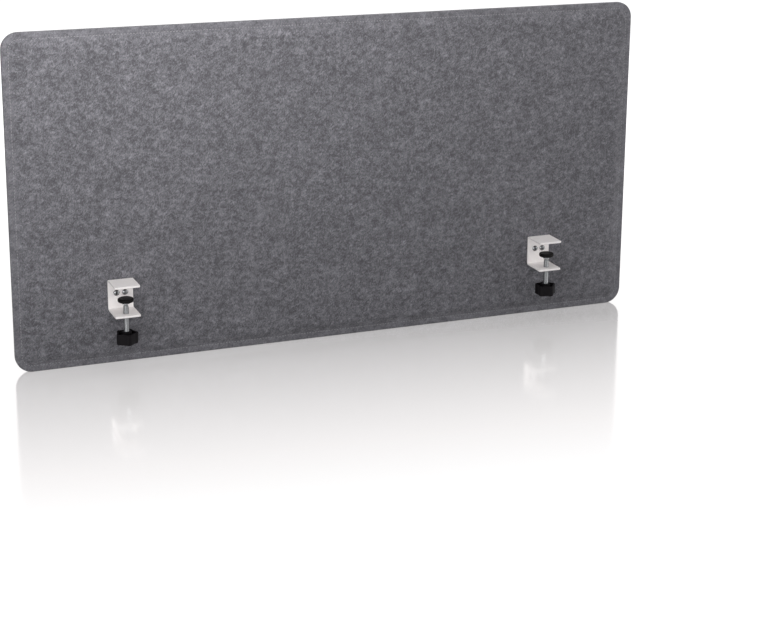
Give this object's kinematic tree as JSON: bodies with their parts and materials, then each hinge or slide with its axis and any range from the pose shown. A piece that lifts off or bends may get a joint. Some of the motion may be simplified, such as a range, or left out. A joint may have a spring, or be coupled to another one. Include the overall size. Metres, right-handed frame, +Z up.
{
  "type": "desk-mounted acoustic divider screen",
  "caption": "Felt desk screen with a sewn, pinched rim, held on a desk's edge by bent steel clamps whose pads rise on threaded spindles as their star knobs turn.",
  "frame": {"origin": "on the plane of the desk's top surface, where the desk's edge meets the clamps' back plates, midway between the two clamps", "axes": "+X along the panel to the right seen from the desk side, +Y from the desk side to the far side, +Z up"},
  "size_m": [1.2, 0.078, 0.6],
  "materials": {
    "felt": "pressed grey melange felt",
    "board": "raw fibreboard",
    "batt": "soft polyester batt",
    "white_coat": "off-white powder coat, satin",
    "zinc": "bright zinc plate",
    "black_plastic": "fine-grained moulded plastic",
    "black_rubber": "smooth moulded rubber",
    "black_steel": "turned steel, black oxide"
  },
  "bodies": {
    "panel": {"front_felt_shell": "felt", "rear_felt_shell": "felt", "core_frame": "board", "absorber_batt": "batt", "left_bracket": "white_coat", "right_bracket": "white_coat", "left_fixing_screws": "zinc", "right_fixing_screws": "zinc", "left_nut_plate": "zinc", "right_nut_plate": "zinc"},
    "left_pad": {"left_pad_cap": "black_rubber", "left_pad_disc": "zinc"},
    "left_screw": {"left_spindle": "zinc", "left_knob": "black_plastic", "left_knob_insert": "black_steel"},
    "right_pad": {"right_pad_cap": "black_rubber", "right_pad_disc": "zinc"},
    "right_screw": {"right_spindle": "zinc", "right_knob": "black_plastic", "right_knob_insert": "black_steel"}
  },
  "joints": [
    {"name": "left_pad_slide", "type": "slide", "parent": "panel", "child": "left_pad", "axis": [0, 0, 1], "range_m": [-0.0175, 0.02156]},
    {"name": "left_screw_turn", "type": "hinge", "parent": "left_pad", "child": "left_screw", "pos_m": [-0.412, -0.0345, -0.05], "axis": [0, 0, 1], "range_deg": [-4205, 5180]},
    {"name": "right_pad_slide", "type": "slide", "parent": "panel", "child": "right_pad", "axis": [0, 0, 1], "range_m": [-0.0175, 0.02156]},
    {"name": "right_screw_turn", "type": "hinge", "parent": "right_pad", "child": "right_screw", "pos_m": [0.412, -0.0345, -0.05], "axis": [0, 0, 1], "range_deg": [-4205, 5180]}
  ],
  "couplings": [
    {"joint": "left_screw_turn", "follows": "left_pad_slide", "rad_per_m": 4188.8},
    {"joint": "right_screw_turn", "follows": "right_pad_slide", "rad_per_m": 4188.8}
  ]
}
